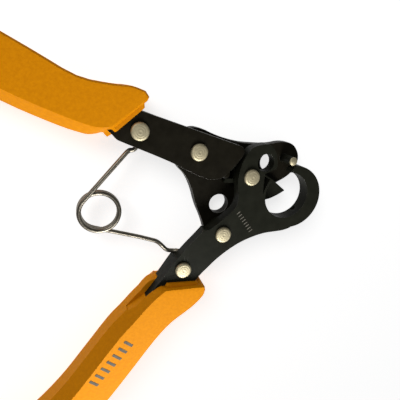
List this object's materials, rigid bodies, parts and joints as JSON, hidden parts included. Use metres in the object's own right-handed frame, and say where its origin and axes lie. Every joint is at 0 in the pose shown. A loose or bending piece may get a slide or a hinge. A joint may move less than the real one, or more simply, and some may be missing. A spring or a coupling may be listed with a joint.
{
  "type": "crimping pliers",
  "caption": "Spring-opened jewellery pliers with a C-shaped forming ring, a forming pin, a cam blade, riveted dark plates and two long bevelled orange grips.",
  "frame": {"origin": "on the main pivot's axis, on the plane the tool lies on, which is the grips' rear faces", "axes": "+Z along the rivets, away from the plane it lies on; +X from the grips towards the forming ring; +Y towards the upper grip"},
  "size_m": [0.142, 0.1277, 0.0126],
  "materials": {
    "black_oxide": "satin black oxide",
    "nickel": "turned, satin",
    "orange_grip": "fine matte texture",
    "spring_steel": "drawn wire"
  },
  "bodies": {
    "lower_lever": {"front_plate": "black_oxide", "lower_spacer": "black_oxide", "rear_plate": "black_oxide", "forming_pin": "nickel", "main_pivot_rivet": "nickel", "lower_front_rivet": "nickel", "lower_rear_rivet": "nickel", "lower_grip": "orange_grip", "cam_washer": "spring_steel"},
    "upper_lever": {"upper_front_arm": "black_oxide", "upper_tongue": "black_oxide", "upper_rear_arm": "black_oxide", "upper_pivot_rivet": "nickel", "upper_rear_rivet": "nickel", "upper_grip": "orange_grip", "upper_pivot_washer": "spring_steel"},
    "cam": {"cam_blade": "black_oxide"},
    "spring_upper": {"return_spring": "spring_steel"},
    "spring_lower": {"return_spring_tail": "spring_steel"}
  },
  "joints": [
    {"name": "squeeze", "type": "hinge", "parent": "lower_lever", "child": "upper_lever", "pos_m": [-0.0129, 0.0089, 0.0059], "axis": [0, 0, 1], "range_deg": [0, 24], "stiffness_Nm_per_rad": 0.25, "springref_deg": -22.92},
    {"name": "cam_turn", "type": "hinge", "parent": "lower_lever", "child": "cam", "pos_m": [0, 0, 0.0059], "axis": [0, 0, 1], "range_deg": [-46, 0]},
    {"name": "spring_hook", "type": "hinge", "parent": "upper_lever", "child": "spring_upper", "pos_m": [-0.0268, 0.0119, 0.0059], "axis": [0, 0, 1], "range_deg": [-36, 0]},
    {"name": "spring_coil", "type": "hinge", "parent": "spring_upper", "child": "spring_lower", "pos_m": [-0.0382, -0.0018, 0.0059], "axis": [0, 0, 1], "range_deg": [0, 24]}
  ],
  "couplings": [
    {"joint": "cam_turn", "follows": "squeeze", "ratio": -1.89},
    {"joint": "spring_hook", "follows": "squeeze", "ratio": -1.47},
    {"joint": "spring_coil", "follows": "squeeze", "ratio": 0.94}
  ]
}
